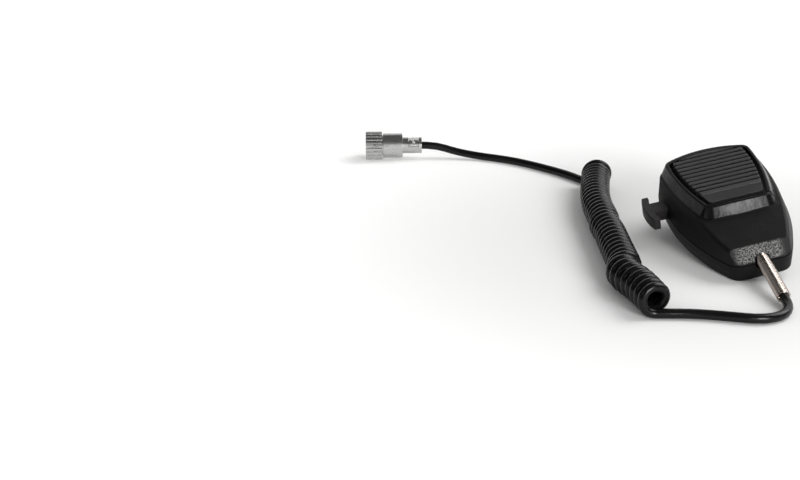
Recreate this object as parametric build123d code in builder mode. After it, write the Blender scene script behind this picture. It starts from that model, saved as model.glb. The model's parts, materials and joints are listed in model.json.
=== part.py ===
"""Palm microphone with a louvred grille, a press-to-talk bar, a hang-up button on its back
and a curly cord that ends in a round locking plug.  Millimetres.

The microphone is modelled in its own frame: X across, Y from the cord end to the crown,
Z out of the grille, with z = 0 on the parting plane of the two case halves.  The last section
lays it on its back, on the hang-up button and the rim at the cord end, with +Z up."""
from build123d import *
import math
import os

os.makedirs("parts", exist_ok=True)

# ------------------------------------------------------------------ driving dimensions
# Case outlines at several heights: half width and y where the cord end meets the side, a point
# on the side, the top corner, the y of the crown, and the two corner radii.
crown_y = 97.6
parting_outline = dict(end=(15.0, -1.4), side=(28.6, 34.0), corner=(29.6, crown_y - 13.6),
                       crown=crown_y, end_radius=8.0, corner_radius=10.0)
shoulder_outline = dict(end=(14.2, 0.5), side=(24.0, 32.0), corner=(27.6, crown_y - 12.6),
                        crown=crown_y - 3.0, end_radius=6.0, corner_radius=8.0)
back_outline = dict(end=(14.4, -0.9), side=(27.8, 35.0), corner=(28.4, crown_y - 16.0),
                    crown=crown_y - 5.0, end_radius=7.0, corner_radius=10.0)
bezel_base_outline = dict(end=(18.9, 27.2), side=(25.0, 50.0), corner=(26.6, crown_y - 12.0),
                          crown=crown_y - 5.6, end_radius=5.0, corner_radius=7.0)
bezel_rim_outline = dict(end=(17.4, 30.4), side=(22.1, 50.8), corner=(24.1, crown_y - 13.5),
                         crown=crown_y - 7.7, end_radius=4.0, corner_radius=5.0)
recess_outline = dict(end=(15.9, 31.9), side=(20.9, 51.5), corner=(22.6, crown_y - 14.9),
                      crown=crown_y - 11.3, end_radius=2.6, corner_radius=3.6)
insert_outline = dict(end=(15.5, 34.4), side=(20.1, 54.7), corner=(21.4, crown_y - 15.6),
                      crown=crown_y - 12.2, end_radius=2.4, corner_radius=3.0)

beyond = 120.0                # farther out than any part of the case
overcut = 1.0                 # how far a cut reaches past the face it opens
root = 0.5                    # how deep bosses, posts and rings are rooted in a wall
running_gap = 0.3             # round pieces that move or are slipped in
head_gap = 0.15               # round sunk screw heads
least_round = 0.4             # corner radius that an inset outline keeps
wall = 2.2                    # case wall
under_bezel_y = 60.0          # from here on, bosses and posts stand under the bezel
shoulder_height = 13.0        # front face round the bezel, above the parting plane
bevel_height = 8.0            # top of the bevel at the cord end
bevel_y = 3.8
bevel_inner_y = 5.3
band_depth = 4.0              # straight band of the back shell
back_depth = 10.0             # back face below the parting plane
bezel_height = 19.0
bezel_skirt = 2.5             # how far the bezel reaches into the sloping chin
recess_floor = 15.5
insert_height = 20.0
shoulder_round = 2.2
chin_blend = 15.0             # radius where the sloping chin meets the flat shoulder
rim_round = 0.9
back_round = 1.2
seam_groove = 0.4             # shadow gap between the two case halves
lip_width = 0.9               # alignment lip inside the seam
lip_height = 1.5
lip_clearance = 0.15
lip_root = 3.0                # how far below the seam the lip joins the wall

louvre_pitch = 4.02
louvre_first_y = 46.3
louvre_last_margin = 2.8      # least distance from the last slot to the insert's crown
louvre_width = 1.5
louvre_depth = 2.2            # depth of the slots that cross the whole insert
louvre_edge = 0.35            # bevel along both edges of a slot
louvre_lean = 0.6             # how far a slot leans towards the crown over its depth
land_end_y = 42.1             # plain land between the insert's front edge and the louvres
land_step = 0.3               # how far the land lies below the blades where it meets them
land_fall = 0.5               # how much lower it is at its front edge
louvre_side_frame = 2.0       # frame that carries the blades beside the through slots
insert_flare = 0.4            # how much wider the insert is at its foot
insert_round = 0.7
felt_thickness = 1.0
felt_border = 1.2
felt_clearance = 0.15
sound_hole_radius = 11.5

capsule_from_crown = 38.0
capsule_y = crown_y - capsule_from_crown
capsule_radius = 13.5
capsule_thickness = 8.0
capsule_back_radius = 9.0
capsule_back_thickness = 2.0
capsule_round = 1.0
capsule_port_radius = 0.9     # sound ports in the capsule's front: one, and a ring of six
capsule_port_circle = 5.0
capsule_port_count = 6
capsule_port_depth = 0.8
capsule_lead_x = 6.5
gasket_thickness = 1.0
seat_clearance = 0.15
seat_rib = 1.2
seat_depth = 5.0
strap_width = 8.0
strap_thickness = 1.0
strap_post_radius = 2.6
strap_post_reach = 19.5       # from the capsule's centre to each strap post

screw_radius = 1.2            # self-tapping screws inside the case
screw_clearance = 0.05
screw_head_radius = 2.2
screw_head_height = 1.3
screw_drive_length = 2.9
screw_drive_width = 0.5
short_screw_length = 5.0
boss_radius = 3.0
low_screw_spot = (13.6, 11.0)
crown_screw_x = 21.5
crown_screw_inset = 16.5      # from the crown
case_screw_sink = 2.6         # how deep the case screws' heads lie below the back face
case_screw_length = 12.0

board_half_width = 20.0
board_start_y = 26.0
board_inset = 21.5            # from the crown to the board's end
board_end_y = crown_y - board_inset
board_thickness = 1.6
board_room = 3.8              # from the back shell's floor to the board's front face
board_corner = 2.0
board_post_x = 16.0
board_post_inset = 5.0        # from the board's start
board_far_post_inset = 4.5    # from the board's end
board_post_radius = 2.4
amplifier_spot = (-4.0, 37.0)
amplifier_size = (6.0, 5.0)
small_chip_spots = [(9.0, 44.0), (9.0, 48.0), (-9.0, 44.0), (-9.0, 48.0)]
small_chip_size = (3.2, 1.6)
chip_height = 1.2
capacitor_spot = (8.0, 37.0)
capacitor_radius = 2.5
capacitor_height = 4.5
capacitor_round = 0.5

button_y = 50.0
button_face = 20.0            # hang-up button's face below the parting plane
button_base_radius = 7.5
button_base_height = 2.0
button_neck_radius = 4.1
button_head_radius = 6.5
button_head_height = 3.4
button_round = 0.6
button_screw_radius = 1.5
button_screw_head_radius = 2.9
button_screw_sink = 0.2       # the screw's head lies below the button's face
button_drive_length = 3.2
button_drive_width = 0.7
button_drive_depth = 0.8
button_boss_radius = 4.6
button_boss_height = 4.0
button_hole_clearance = 0.6   # round the boss, in the circuit board

ptt_from_crown = 32.2
ptt_y = crown_y - ptt_from_crown  # middle of the press-to-talk bar
ptt_length = 24.0
ptt_bar_end = -41.0           # outer face at the bar's two ends
ptt_bulge = 2.0               # how far the middle of the outer face stands out
ptt_bar_inner = -37.4
ptt_bottom = -3.0
ptt_top = 4.0
ptt_lip = 0.8                 # the bar's ends stand in towards the case by this much
ptt_lip_length = 2.5
ptt_round = 0.5
ptt_stem_width = 9.6
ptt_stem_step = 0.6           # the stem is this much thinner than the bar, underneath
ptt_slot_clearance = 0.3
ptt_flange_outer = -27.1
ptt_flange_thickness = 1.1
ptt_flange_overhang = 1.7
ptt_travel = 2.5
flange_room = 0.6             # round the flange, in the back shell's wall
flange_room_depth = 4.4

switch_face = -22.0
switch_depth = 7.2
switch_length = 15.0
switch_height = 7.6
plunger_radius = 1.5
plunger_fit = 0.05
plunger_gap = 0.2
plunger_seat = 3.2            # how deep the plunger sits in the switch at rest
plunger_cap_radius = 2.2
plunger_cap_height = 0.6
return_spring_radius = 3.1
return_spring_wall = 0.6

cord_radius = 2.5
cord_grip = 0.05              # clearance of what holds the cord
cord_inner_y = 18.0
bend = (0.8, 9.5, 0.6)        # where the cord turns down towards the strain relief
bend_radius = 18.0
relief_tip = (-0.8, -31.0, -2.4)
relief_radius = 3.5
relief_wall = 0.9
relief_groove = 0.3
relief_ring_pitch = 1.35
ring_rise = 0.3               # share of each ring's pitch that rises from the groove
notch_half_width = 4.2        # notch for the strain relief, through both case halves
notch_top = 3.7
notch_bottom = -3.9
notch_round = 3.0
collar_radius = 5.2
collar_inset = 1.5            # from the bend to the collar's inner face
collar_thickness = 1.6
collar_rib_thickness = 1.5
collar_rib_half_width = 7.0
clamp_y = 14.0
clamp_length = 4.0
clamp_half_width = 7.8
clamp_gap = 0.5               # each clamp half stands back from the cord's middle plane
clamp_depth = 4.6
clamp_screw_x = 5.4
clamp_screw_grip = 3.0        # thread in the front shell, in a hole that is a little deeper
clamp_screw_reach = 4.0
lead_radius = 0.6
lead_names = ["red", "white", "blue", "bare"]
lead_spread = 1.25
lead_straight = 3.0           # first run out of the cord's jacket
lead_landing = 3.6            # last run, down to the pad
lead_rise = 1.0
lead_bend = 1.4
pad_spread = 5.0
pad_y = 28.6

run_share = 0.45              # share of a run that the arc at each of its ends may take
coil_radius = 9.0
# The coil's centre line, from the end near the microphone to the far end.
coil_points = [(-62.1, -83.0, 9.0), (-65.1, -47.5, 9.0), (-62.5, -20.5, 9.0),
               (-57.2, 22.5, 9.0), (-52.4, 71.5, 9.0), (-35.8, 119.7, 9.0)]
# The cord between the strain relief's tip and the coil.
lead_points = [(6.31, -85.09, 2.6), (-0.4, -94.4, 2.6), (-12.9, -97.4, 2.6),
               (-28.7, -91.1, 2.6), (-43.9, -86.1, 2.6), (-57.9, -84.0, 2.6)]
# The cord from the coil's far end to the plug.
tail_points = [(-38.4, 119.5, 2.6), (-50.9, 128.5, 2.6), (-64.9, 146.5, 2.6),
               (-81.9, 164.5, 2.6), (-101.9, 176.5, 2.6), (-117.8, 181.8, 5.0),
               (-130.9, 184.2, 9.4)]

plug_rear = (-139.9, 185.1, 9.4)
plug_direction = (-1.0, 0.1, 0.0)
plug_neck_radius = 5.4
plug_neck_length = 13.0
plug_body_radius = 8.2
plug_body_end = 26.0
plug_bore_start = 15.0
plug_bore_radius = 5.9
plug_spigot_radius = 6.9
plug_spigot_end = 36.0
plug_ring_start = 26.6
plug_ring_length = 11.0
plug_ring_shoulder = 4.0
plug_ring_fit = 0.06
plug_thread_radius = 7.9
plug_stop_radius = 7.6
plug_stop_gap = 0.15
plug_stop_thickness = 1.0
plug_knurls = 24
plug_knurl_radius = 0.7
plug_knurl_offset = 0.25      # the knurls' centres lie outside the ring by this much
plug_insert_clearance = 0.1
plug_insert_start = 28.0
plug_insert_end = 35.0
plug_contact_radius = 1.1
plug_contact_bore = 0.6
plug_contact_circle = 3.2
plug_contact_count = 4
plug_contact_tail = 2.0       # solder tails behind the insulator
plug_cord_depth = 4.0
plug_window_start = 2.0
plug_window_end = 9.0
plug_window_height = 0.5
plug_saddle_top = 4.4
plug_saddle_gap = 0.2         # between the saddle and the window's floor
plug_screw_head_radius = 1.4
plug_screw_head_base = 2.4    # above the window's floor
plug_screw_head_height = 1.0
plug_screw_radius = 0.8
plug_screw_depth = 2.4        # below the window's floor
plug_screw_x = 3.9

mic_tilt = 10                 # degrees, crown end up
mic_roll = 12                 # degrees, right side up
mic_turn = 0.7                # degrees, crown end to the left

# ------------------------------------------------------------------ sizes that follow
cord_end_y = parting_outline["end"][1]
chin_end_y = bezel_base_outline["end"][1]
chin_inner = shoulder_height - wall
cavity_top = recess_floor - wall
screw_hole = screw_radius + screw_clearance
capsule_front = cavity_top - gasket_thickness
capsule_rear = capsule_front - capsule_thickness - capsule_back_thickness
strap_posts = [(0, capsule_y - strap_post_reach), (0, capsule_y + strap_post_reach)]
back_floor = wall - back_depth
board_top = back_floor + board_room
board_posts = [(-board_post_x, board_start_y + board_post_inset),
               (board_post_x, board_start_y + board_post_inset),
               (board_post_x, board_end_y - board_far_post_inset)]
crown_screw_spot = (crown_screw_x, crown_y - crown_screw_inset)
case_screw_spots = [(-low_screw_spot[0], low_screw_spot[1]), low_screw_spot,
                    (-crown_screw_spot[0], crown_screw_spot[1]), crown_screw_spot]
button_boss_top = back_floor + button_boss_height
stem_bottom = ptt_bottom + ptt_stem_step
stem_height = ptt_top - stem_bottom
stem_middle = (ptt_top + stem_bottom) / 2
plunger_outer = ptt_flange_outer + ptt_flange_thickness + plunger_gap
cord_hole = cord_radius + cord_grip
clamp_screw_spots = [(-clamp_screw_x, clamp_y), (clamp_screw_x, clamp_y)]
relief_axis = Vector(*relief_tip) - Vector(*bend)
collar_start = collar_inset + collar_thickness


# ------------------------------------------------------------------ helpers
def case_outline(end, side, corner, crown, end_radius, corner_radius, inset=0.0):
    """Outline symmetric about x = 0, straight at the cord end and arched at the crown."""
    with BuildSketch(mode=Mode.PRIVATE) as outline:
        with BuildLine():
            Line((-end[0], end[1]), end)
            ThreePointArc(end, side, corner)
            ThreePointArc(corner, (0, crown), (-corner[0], corner[1]))
            ThreePointArc((-corner[0], corner[1]), (-side[0], side[1]), (-end[0], end[1]))
        make_face()
        if inset:
            offset(amount=-inset, kind=Kind.INTERSECTION)
        fillet(outline.vertices().group_by(Axis.Y)[-1], max(corner_radius - inset, least_round))
        fillet(outline.vertices().group_by(Axis.Y)[0], max(end_radius - inset, least_round))
    return outline.sketch


def outline_loft(low_outline, low_z, high_outline, high_z, inset=0.0, mode=Mode.ADD):
    """Solid between two case outlines at two heights."""
    with BuildSketch(Plane.XY.offset(low_z)) as low:
        add(case_outline(**low_outline, inset=inset))
    with BuildSketch(Plane.XY.offset(high_z)) as high:
        add(case_outline(**high_outline, inset=inset))
    return loft([low.sketch, high.sketch], mode=mode)


def front_root(y):
    """Height inside the front shell's wall at y, where bosses and posts are rooted."""
    if y > under_bezel_y:
        return cavity_top + root
    slope = (shoulder_height - bevel_height) / (chin_end_y - bevel_y)
    return min(bevel_height + slope * (y - bevel_y), shoulder_height) - wall + 2 * root


def posts(spots, radius, bottom, top):
    """Round posts between two heights."""
    with BuildSketch(Plane.XY.offset(bottom)) as rounds:
        with Locations(*spots):
            Circle(radius)
    extrude(rounds.sketch, amount=top - bottom)


def holes(spots, radius, bottom, top):
    """Round holes between two heights."""
    with BuildSketch(Plane.XY.offset(bottom)) as rounds:
        with Locations(*spots):
            Circle(radius)
    extrude(rounds.sketch, amount=top - bottom, mode=Mode.SUBTRACT)


def station(origin, direction, distance):
    """Plane square to a straight axis, at a distance along it."""
    axis = Vector(*direction).normalized()
    across = Vector(0, 0, 1).cross(axis)
    return Plane(Vector(*origin) + axis * distance, x_dir=across, z_dir=axis)


def relief_station(distance):
    return station(bend, relief_axis, distance)


def plug_station(distance):
    return station(plug_rear, plug_direction, distance)


# The floor of the window in the plug's neck, with its x towards the mating end.
plug_window_plane = Plane(Vector(*plug_rear) + Vector(0, 0, plug_window_height),
                          x_dir=plug_direction, z_dir=(0, 0, 1))
saddle_middle = (plug_window_start + plug_window_end) / 2
plug_screw_spots = [(saddle_middle, -plug_screw_x), (saddle_middle, plug_screw_x)]


def tube(place, start, end, outer, inner=0.0, mode=Mode.ADD):
    """Round tube or rod between two stations of an axis."""
    with BuildSketch(place(start)) as ring:
        Circle(outer)
        if inner:
            Circle(inner, mode=Mode.SUBTRACT)
    extrude(ring.sketch, amount=end - start, mode=mode)


def stem_slot():
    """Slot through the case's side for the press-to-talk stem."""
    with BuildSketch(Plane.YZ.offset(ptt_bar_inner)) as slot:
        with Locations((ptt_y, stem_middle)):
            Rectangle(ptt_stem_width + 2 * ptt_slot_clearance, stem_height + 2 * ptt_slot_clearance)
    slot_end = ptt_flange_outer + ptt_flange_thickness + 2 * ptt_slot_clearance
    extrude(slot.sketch, amount=slot_end - ptt_bar_inner, mode=Mode.SUBTRACT)


def cord_notch():
    """Notch at the cord end, out from behind the rib that holds the strain relief's collar."""
    with BuildSketch(Plane.XZ.offset(collar_start - bend[1])) as notch:
        with Locations((0, (notch_top + notch_bottom) / 2)):
            RectangleRounded(2 * notch_half_width, notch_top - notch_bottom, notch_round)
    extrude(notch.sketch, amount=bend[1] - collar_start - 2 * cord_end_y, mode=Mode.SUBTRACT)


def cord_groove():
    """Round passage for the cord through a half of the clamp."""
    with BuildSketch(Plane.XZ.offset(-clamp_y - clamp_length)) as groove:
        with Locations((bend[0], bend[2])):
            Circle(cord_hole)
    extrude(groove.sketch, amount=2 * clamp_length, mode=Mode.SUBTRACT)


def pan_screws(spots, head_base, length):
    """Screws that point up, with crossed drive slots in the heads below head_base."""
    posts(spots, screw_head_radius, head_base - screw_head_height, head_base)
    posts(spots, screw_radius, head_base, head_base + length)
    with BuildSketch(Plane.XY.offset(head_base - screw_head_height)) as drive:
        with Locations(*spots):
            Rectangle(screw_drive_length, screw_drive_width)
            Rectangle(screw_drive_width, screw_drive_length)
    extrude(drive.sketch, amount=screw_head_height / 2, mode=Mode.SUBTRACT)


def route_radii(points):
    """The largest arc that the two runs beside each corner of a route leave room for."""
    radii = []
    for before, here, after in zip(points, points[1:], points[2:]):
        arriving = Vector(*here) - Vector(*before)
        leaving = Vector(*after) - Vector(*here)
        turn = math.radians(arriving.get_angle(leaving))
        radii.append(run_share * min(arriving.length, leaving.length) / math.tan(turn / 2))
    return radii


def sweep_cord(points, radii, radius):
    """Round cord along straight runs joined by tangent arcs."""
    with BuildLine() as route:
        FilletPolyline(*points, radius=radii)
    with BuildSketch(Plane(route.line @ 0, z_dir=route.line % 0)) as section:
        Circle(radius)
    sweep(section.sketch, path=route.line)
    length = sum(edge.length for edge in route.line.edges())
    print("  length %.1f  radii" % length, [round(value, 1) for value in radii])


# ------------------------------------------------------------------ front shell
with BuildPart() as front_shell:
    outline_loft(parting_outline, 0, shoulder_outline, shoulder_height)
    # Side profile: bevel at the cord end, sloping chin, flat shoulder.
    with BuildSketch(Plane.YZ) as profile:
        with BuildLine():
            Polyline((cord_end_y, 0), (bevel_y, bevel_height), (chin_end_y, shoulder_height),
                     (beyond, shoulder_height), (beyond, 0), close=True)
        make_face()
        fillet(profile.vertices().sort_by_distance((chin_end_y, shoulder_height))[0], chin_blend)
    extrude(amount=beyond, both=True, mode=Mode.INTERSECT)
    top_faces = front_shell.faces().filter_by(lambda face: face.normal_at().Z > 0.8)
    shoulder_edges = top_faces.edges().filter_by(
        lambda edge: edge.center().Y > under_bezel_y or abs(edge.center().X) > overcut)
    fillet(shoulder_edges, shoulder_round)
    # Raised bezel round the grille, with a recess for the louvred insert.
    outline_loft(bezel_base_outline, shoulder_height - bezel_skirt, bezel_base_outline, shoulder_height)
    outline_loft(bezel_base_outline, shoulder_height, bezel_rim_outline, bezel_height)
    fillet(front_shell.faces().sort_by(Axis.Z)[-1].outer_wire().edges(), rim_round)
    with BuildSketch(Plane.XY.offset(bezel_height)):
        add(case_outline(**recess_outline))
    extrude(amount=recess_floor - bezel_height, mode=Mode.SUBTRACT)
    # Hollow inside: the walls, the sloping chin and the room under the bezel.
    hollow = outline_loft(parting_outline, 0, shoulder_outline, chin_inner, inset=wall,
                          mode=Mode.PRIVATE)
    with BuildSketch(Plane.YZ):
        with BuildLine():
            Polyline((cord_end_y + wall, 0), (bevel_inner_y, bevel_height - wall),
                     (chin_end_y, chin_inner), (beyond, chin_inner), (beyond, 0), close=True)
        make_face()
    inner_profile = extrude(amount=beyond, both=True, mode=Mode.PRIVATE)
    add(hollow & inner_profile, mode=Mode.SUBTRACT)
    with BuildSketch(Plane.XY):
        add(case_outline(**parting_outline, inset=wall))
    extrude(amount=lip_height + lip_clearance, mode=Mode.SUBTRACT)
    with BuildSketch(Plane.XY.offset(chin_inner)):
        add(case_outline(**bezel_base_outline, inset=wall + root))
    extrude(amount=cavity_top - chin_inner, mode=Mode.SUBTRACT)
    # Ring that seats the capsule, posts for its strap and the circuit board, case bosses.
    with BuildSketch(Plane((0, capsule_y, cavity_top - seat_depth))):
        Circle(capsule_radius + seat_clearance + seat_rib)
        Circle(capsule_radius + seat_clearance, mode=Mode.SUBTRACT)
    extrude(amount=seat_depth + root)
    posts(strap_posts, strap_post_radius, capsule_rear, cavity_top + root)
    for post in board_posts:
        posts([post], board_post_radius, board_top, front_root(post[1]))
    for spot in case_screw_spots:
        posts([spot], boss_radius, 0, front_root(spot[1]))
    # Upper half of the cord clamp.
    with BuildSketch(Plane((0, clamp_y, bend[2] + clamp_gap))):
        Rectangle(2 * clamp_half_width, clamp_length)
    extrude(amount=front_root(clamp_y) - bend[2] - clamp_gap)
    cord_groove()
    # Screw holes, sound opening, cord notch and the press-to-talk slot.
    holes(strap_posts, screw_hole, capsule_rear, capsule_rear + short_screw_length)
    holes(board_posts, screw_hole, board_top, board_top + short_screw_length)
    holes(clamp_screw_spots, screw_hole, 0, bend[2] + clamp_gap + clamp_screw_reach)
    holes(case_screw_spots, screw_hole, 0,
          case_screw_length - back_depth + case_screw_sink + overcut)
    holes([(0, capsule_y)], sound_hole_radius, cavity_top - wall, recess_floor + overcut)
    cord_notch()
    stem_slot()

# ------------------------------------------------------------------ louvred grille insert
with BuildPart() as grille_insert:
    with BuildSketch(Plane.XY.offset(recess_floor)):
        add(case_outline(**insert_outline, inset=-insert_flare))
    with BuildSketch(Plane.XY.offset(insert_height)):
        add(case_outline(**insert_outline))
    loft()
    fillet(grille_insert.faces().sort_by(Axis.Z)[-1].outer_wire().edges(), insert_round)
    # Sloping land, with a small step up to the louvres.
    land_start_y = insert_outline["end"][1] - insert_flare
    with BuildSketch(Plane.YZ):
        with BuildLine():
            Polyline((land_start_y, insert_height - land_step - land_fall),
                     (land_end_y, insert_height - land_step),
                     (land_end_y, insert_height + overcut),
                     (land_start_y, insert_height + overcut), close=True)
        make_face()
    extrude(amount=beyond, both=True, mode=Mode.SUBTRACT)
    # Slots with bevelled edges cross the whole insert and leave the louvre blades between them.
    half = louvre_width / 2
    slot_floor = insert_height - louvre_depth
    louvre_span = insert_outline["crown"] - louvre_last_margin - louvre_first_y
    louvre_count = int(louvre_span / louvre_pitch) + 1
    louvre_ys = [louvre_first_y + number * louvre_pitch for number in range(louvre_count)]
    for y in louvre_ys:
        with BuildSketch(Plane.YZ):
            with BuildLine():
                Polyline((y - half - louvre_edge, insert_height + overcut),
                         (y - half - louvre_edge, insert_height),
                         (y - half, insert_height - louvre_edge),
                         (y - half + louvre_lean, slot_floor),
                         (y + half + louvre_lean, slot_floor),
                         (y + half, insert_height - louvre_edge),
                         (y + half + louvre_edge, insert_height),
                         (y + half + louvre_edge, insert_height + overcut), close=True)
            make_face()
        extrude(amount=beyond, both=True, mode=Mode.SUBTRACT)
    # The blades stand on a frame: inside it the slots go on down to the felt.
    with BuildSketch(Plane.XY.offset(recess_floor)):
        with Locations(*[(0, y + louvre_lean) for y in louvre_ys]):
            Rectangle(2 * insert_outline["corner"][0], louvre_width)
        add(case_outline(**insert_outline, inset=louvre_side_frame), mode=Mode.INTERSECT)
    extrude(amount=slot_floor - recess_floor, mode=Mode.SUBTRACT)
    with BuildSketch(Plane.XY.offset(recess_floor)):
        add(case_outline(**insert_outline, inset=felt_border))
    extrude(amount=felt_thickness, mode=Mode.SUBTRACT)

with BuildPart() as grille_felt:
    with BuildSketch(Plane.XY.offset(recess_floor)):
        add(case_outline(**insert_outline, inset=felt_border + felt_clearance))
    extrude(amount=felt_thickness)

# ------------------------------------------------------------------ back shell
with BuildPart() as back_shell:
    with BuildSketch(Plane.XY.offset(-band_depth)):
        add(case_outline(**parting_outline))
    extrude(amount=band_depth - seam_groove)
    outline_loft(parting_outline, -band_depth, back_outline, -back_depth)
    fillet(back_shell.faces().sort_by(Axis.Z)[0].outer_wire().edges(), back_round)
    with BuildSketch(Plane.XY.offset(-seam_groove)):
        add(case_outline(**parting_outline, inset=seam_groove))
    extrude(amount=seam_groove)
    with BuildSketch(Plane.XY.offset(-band_depth)):
        add(case_outline(**parting_outline, inset=wall))
    extrude(amount=band_depth, mode=Mode.SUBTRACT)
    outline_loft(parting_outline, -band_depth, back_outline, back_floor, inset=wall,
                 mode=Mode.SUBTRACT)
    # Alignment lip: rooted in the wall below the seam, free of the front shell above it.
    with BuildSketch(Plane.XY.offset(-lip_root)):
        add(case_outline(**parting_outline, inset=wall - root))
        add(case_outline(**parting_outline, inset=wall + lip_clearance + lip_width),
            mode=Mode.SUBTRACT)
    extrude(amount=lip_root)
    with BuildSketch(Plane.XY):
        add(case_outline(**parting_outline, inset=wall + lip_clearance))
        add(case_outline(**parting_outline, inset=wall + lip_clearance + lip_width),
            mode=Mode.SUBTRACT)
    extrude(amount=lip_height)
    holes(case_screw_spots, boss_radius + lip_clearance, 0, lip_height)
    # Columns for the case screws, boss for the hang-up button, rib behind the cord notch.
    posts(case_screw_spots, boss_radius, back_floor - root, 0)
    holes(case_screw_spots, screw_hole, -back_depth, 0)
    holes(case_screw_spots, screw_head_radius + head_gap, -back_depth, case_screw_sink - back_depth)
    posts([(0, button_y)], button_boss_radius, back_floor - root, button_boss_top)
    holes([(0, button_y)], button_screw_radius + screw_clearance, -back_depth,
          button_boss_top - root)
    rib_middle = bend[1] - collar_start - collar_rib_thickness / 2 - running_gap
    with BuildSketch(Plane((0, rib_middle, back_floor - root))):
        Rectangle(2 * collar_rib_half_width, collar_rib_thickness)
    extrude(amount=root - back_floor)
    cord_notch()
    # Slot for the press-to-talk stem, with room inside for its flange.
    stem_slot()
    with BuildSketch(Plane((ptt_flange_outer + flange_room_depth / 3, ptt_y, stem_bottom - flange_room))):
        Rectangle(flange_room_depth, ptt_stem_width + 2 * (ptt_flange_overhang + flange_room))
    extrude(amount=stem_height + 2 * flange_room, mode=Mode.SUBTRACT)

# ------------------------------------------------------------------ fasteners of the case
with BuildPart() as case_screws:
    pan_screws(case_screw_spots, case_screw_sink - back_depth, case_screw_length)

# ------------------------------------------------------------------ hang-up button
with BuildPart() as hang_up_button:
    posts([(0, button_y)], button_base_radius, -back_depth - button_base_height, -back_depth)
    posts([(0, button_y)], button_neck_radius, -button_face, -back_depth)
    posts([(0, button_y)], button_head_radius, -button_face, button_head_height - button_face)
    fillet(hang_up_button.faces().sort_by(Axis.Z)[0].outer_wire().edges(), button_round)
    holes([(0, button_y)], button_screw_radius + screw_clearance, -button_face, -back_depth)
    with BuildSketch(Plane((0, button_y, -button_face))):
        Circle(button_screw_head_radius + button_screw_sink)
    extrude(amount=button_screw_head_radius + button_screw_sink - button_screw_radius, taper=45,
            mode=Mode.SUBTRACT)

with BuildPart() as button_screw:
    with BuildSketch(Plane((0, button_y, button_screw_sink - button_face))):
        Circle(button_screw_head_radius)
    extrude(amount=button_screw_head_radius - button_screw_radius, taper=45)
    posts([(0, button_y)], button_screw_radius, button_screw_sink + button_drive_depth - button_face,
          button_boss_top - 2 * root)
    with BuildSketch(Plane((0, button_y, button_screw_sink - button_face))):
        Rectangle(button_drive_length, button_drive_width)
        Rectangle(button_drive_width, button_drive_length)
    extrude(amount=button_drive_depth, mode=Mode.SUBTRACT)

# ------------------------------------------------------------------ microphone capsule
with BuildPart() as capsule_gasket:
    with BuildSketch(Plane((0, capsule_y, capsule_front))):
        Circle(capsule_radius)
        Circle(sound_hole_radius, mode=Mode.SUBTRACT)
    extrude(amount=gasket_thickness)

with BuildPart() as microphone_capsule:
    posts([(0, capsule_y)], capsule_radius, capsule_rear + capsule_back_thickness, capsule_front)
    fillet(microphone_capsule.faces().sort_by(Axis.Z)[0].edges(), capsule_round)
    posts([(0, capsule_y)], capsule_back_radius, capsule_rear,
          capsule_rear + capsule_back_thickness)
    with BuildSketch(Plane((0, capsule_y, capsule_front - capsule_port_depth))):
        Circle(capsule_port_radius)
        with PolarLocations(capsule_port_circle, capsule_port_count):
            Circle(capsule_port_radius)
    extrude(amount=capsule_port_depth, mode=Mode.SUBTRACT)

with BuildPart() as capsule_strap:
    with BuildSketch(Plane((0, capsule_y, capsule_rear - strap_thickness))):
        SlotCenterToCenter(2 * strap_post_reach, strap_width, rotation=90)
    extrude(amount=strap_thickness)
    holes(strap_posts, screw_hole, capsule_rear - strap_thickness, capsule_rear)

with BuildPart() as strap_screws:
    pan_screws(strap_posts, capsule_rear - strap_thickness, short_screw_length)

# ------------------------------------------------------------------ circuit board
with BuildPart() as circuit_board:
    board_middle = (board_start_y + board_end_y) / 2
    with BuildSketch(Plane((0, board_middle, board_top - board_thickness))):
        RectangleRounded(2 * board_half_width, board_end_y - board_start_y, board_corner)
    extrude(amount=board_thickness)
    holes(board_posts, screw_hole, board_top - board_thickness, board_top)
    holes([(0, button_y)], button_boss_radius + button_hole_clearance,
          board_top - board_thickness, board_top)

with BuildPart() as board_screws:
    pan_screws(board_posts, board_top - board_thickness, short_screw_length)

with BuildPart() as board_chips:
    with BuildSketch(Plane.XY.offset(board_top)):
        with Locations(amplifier_spot):
            Rectangle(*amplifier_size)
        with Locations(*small_chip_spots):
            Rectangle(*small_chip_size)
    extrude(amount=chip_height)

with BuildPart() as board_capacitor:
    posts([capacitor_spot], capacitor_radius, board_top, board_top + capacitor_height)
    fillet(board_capacitor.faces().sort_by(Axis.Z)[-1].edges(), capacitor_round)

with BuildPart() as capsule_leads:
    posts([(-capsule_lead_x, capsule_y), (capsule_lead_x, capsule_y)], lead_radius, board_top,
          capsule_rear)

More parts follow.
